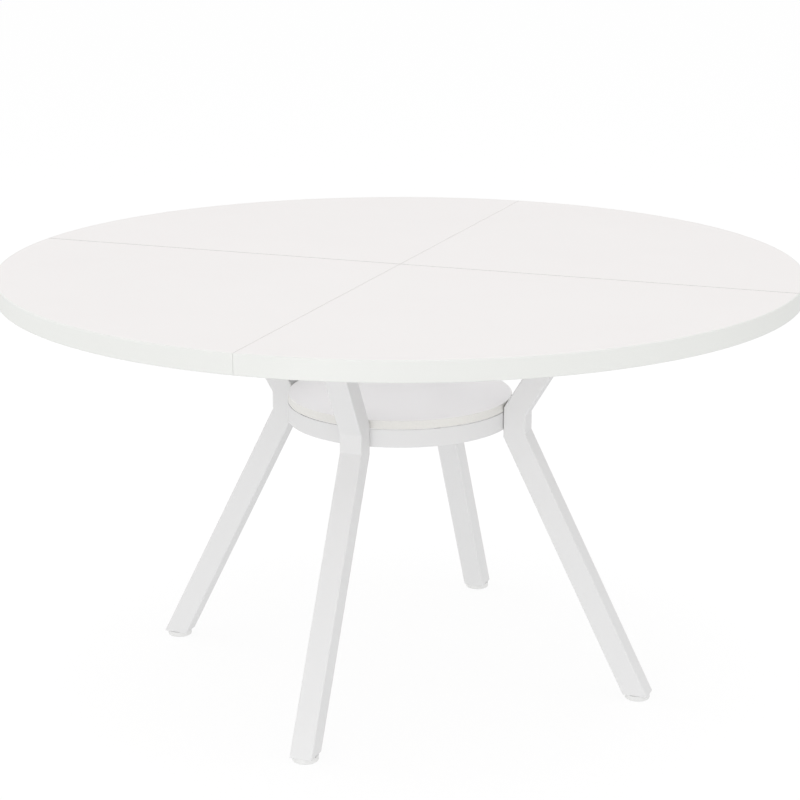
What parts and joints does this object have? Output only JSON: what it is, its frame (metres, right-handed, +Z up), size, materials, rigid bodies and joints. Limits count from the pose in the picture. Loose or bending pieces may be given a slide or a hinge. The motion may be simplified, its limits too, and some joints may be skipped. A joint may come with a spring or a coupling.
{
  "type": "extendable dining table",
  "caption": "Round white dining table whose top is split by two crossing seams and slides open outward on kinked square-tube legs that hold a small round shelf.",
  "frame": {"origin": "centre of the table on the floor plane the feet rest on", "axes": "+Z up; the two seams of the top lie along X and Y, one leg under each half seam, -Y is the front"},
  "size_m": [1.4, 1.4, 0.75],
  "materials": {
    "white_board": "white laminate facing on a wood board, satin",
    "white_edging": "white edge band, satin",
    "white_steel": "white powder coat, satin",
    "pin_steel": "bright zinc",
    "runner_aluminium": "clear anodised",
    "channel_aluminium": "clear anodised",
    "spacer_wood": "planed beech",
    "gear_plastic": "white acetal",
    "zinc_screw": "zinc plated",
    "plate_steel": "white powder coat",
    "bush_plastic": "natural nylon",
    "knob_plastic": "black nylon",
    "plug_plastic": "light grey nylon",
    "foot_plastic": "white nylon"
  },
  "bodies": {
    "base": {"centre_beam": "white_steel", "channel_lower_back_right": "channel_aluminium", "channel_lower_front_left": "channel_aluminium", "channel_spacers": "spacer_wood", "channel_upper_back_left": "channel_aluminium", "channel_upper_front_right": "channel_aluminium", "frame_screws": "zinc_screw", "frame_tube_back_left": "white_steel", "frame_tube_back_right": "white_steel", "frame_tube_front_left": "white_steel", "frame_tube_front_right": "white_steel", "gear_plate": "plate_steel", "leg_back": "white_steel", "leg_bolts": "zinc_screw", "leg_front": "white_steel", "leg_left": "white_steel", "leg_plugs": "plug_plastic", "leg_right": "white_steel", "pinion_bush": "bush_plastic", "ring_bolts": "zinc_screw", "shelf_board": "white_board", "shelf_ring": "white_steel", "shelf_screws": "zinc_screw"},
    "quarter_back_right": {"edge_band_back_right": "white_edging", "rack_back_right": "gear_plastic", "runner_left_back_right": "runner_aluminium", "runner_right_back_right": "runner_aluminium", "runner_screws_back_right": "zinc_screw", "seam_pins_back_right": "pin_steel", "top_quarter_back_right": "white_board"},
    "quarter_back_left": {"edge_band_back_left": "white_edging", "rack_back_left": "gear_plastic", "runner_left_back_left": "runner_aluminium", "runner_right_back_left": "runner_aluminium", "runner_screws_back_left": "zinc_screw", "runner_spacers_back_left": "spacer_wood", "seam_pins_back_left": "pin_steel", "top_quarter_back_left": "white_board"},
    "quarter_front_left": {"edge_band_front_left": "white_edging", "rack_front_left": "gear_plastic", "runner_left_front_left": "runner_aluminium", "runner_right_front_left": "runner_aluminium", "runner_screws_front_left": "zinc_screw", "seam_pins_front_left": "pin_steel", "top_quarter_front_left": "white_board"},
    "quarter_front_right": {"edge_band_front_right": "white_edging", "rack_front_right": "gear_plastic", "runner_left_front_right": "runner_aluminium", "runner_right_front_right": "runner_aluminium", "runner_screws_front_right": "zinc_screw", "runner_spacers_front_right": "spacer_wood", "seam_pins_front_right": "pin_steel", "top_quarter_front_right": "white_board"},
    "pinion": {"pinion": "gear_plastic"},
    "lock_knob": {"lock_knob": "knob_plastic"},
    "foot_front": {"levelling_foot_front": "foot_plastic"},
    "foot_right": {"levelling_foot_right": "foot_plastic"},
    "foot_back": {"levelling_foot_back": "foot_plastic"},
    "foot_left": {"levelling_foot_left": "foot_plastic"}
  },
  "joints": [
    {"name": "extend_front_right", "type": "slide", "parent": "base", "child": "quarter_front_right", "axis": [0.7071, -0.7071, 0], "range_m": [0, 0.2121]},
    {"name": "extend_back_right", "type": "slide", "parent": "base", "child": "quarter_back_right", "axis": [0.7071, 0.7071, 0], "range_m": [0, 0.2121]},
    {"name": "extend_back_left", "type": "slide", "parent": "base", "child": "quarter_back_left", "axis": [-0.7071, 0.7071, 0], "range_m": [0, 0.2121]},
    {"name": "extend_front_left", "type": "slide", "parent": "base", "child": "quarter_front_left", "axis": [-0.7071, -0.7071, 0], "range_m": [0, 0.2121]},
    {"name": "pinion_turn", "type": "hinge", "parent": "base", "child": "pinion", "pos_m": [0, 0, 0.69], "axis": [0, 0, 1], "range_deg": [-507, 0]},
    {"name": "lock_turn", "type": "hinge", "parent": "base", "child": "lock_knob", "pos_m": [-0.04667, 0.00283, 0.65], "axis": [0, 0, 1], "range_deg": [-720, 80]},
    {"name": "foot_turn_right", "type": "hinge", "parent": "base", "child": "foot_right", "pos_m": [0.44821, 0, 0.005], "axis": [0, 0, 1], "continuous": true},
    {"name": "foot_turn_back", "type": "hinge", "parent": "base", "child": "foot_back", "pos_m": [0, 0.44821, 0.005], "axis": [0, 0, 1], "continuous": true},
    {"name": "foot_turn_left", "type": "hinge", "parent": "base", "child": "foot_left", "pos_m": [-0.44821, 0, 0.005], "axis": [0, 0, 1], "continuous": true},
    {"name": "foot_turn_front", "type": "hinge", "parent": "base", "child": "foot_front", "pos_m": [0, -0.44821, 0.005], "axis": [0, 0, 1], "continuous": true}
  ],
  "couplings": [
    {"joint": "extend_back_right", "follows": "extend_front_right", "ratio": 1},
    {"joint": "extend_back_left", "follows": "extend_front_right", "ratio": 1},
    {"joint": "extend_front_left", "follows": "extend_front_right", "ratio": 1},
    {"joint": "pinion_turn", "follows": "extend_front_right", "rad_per_m": -41.667}
  ]
}
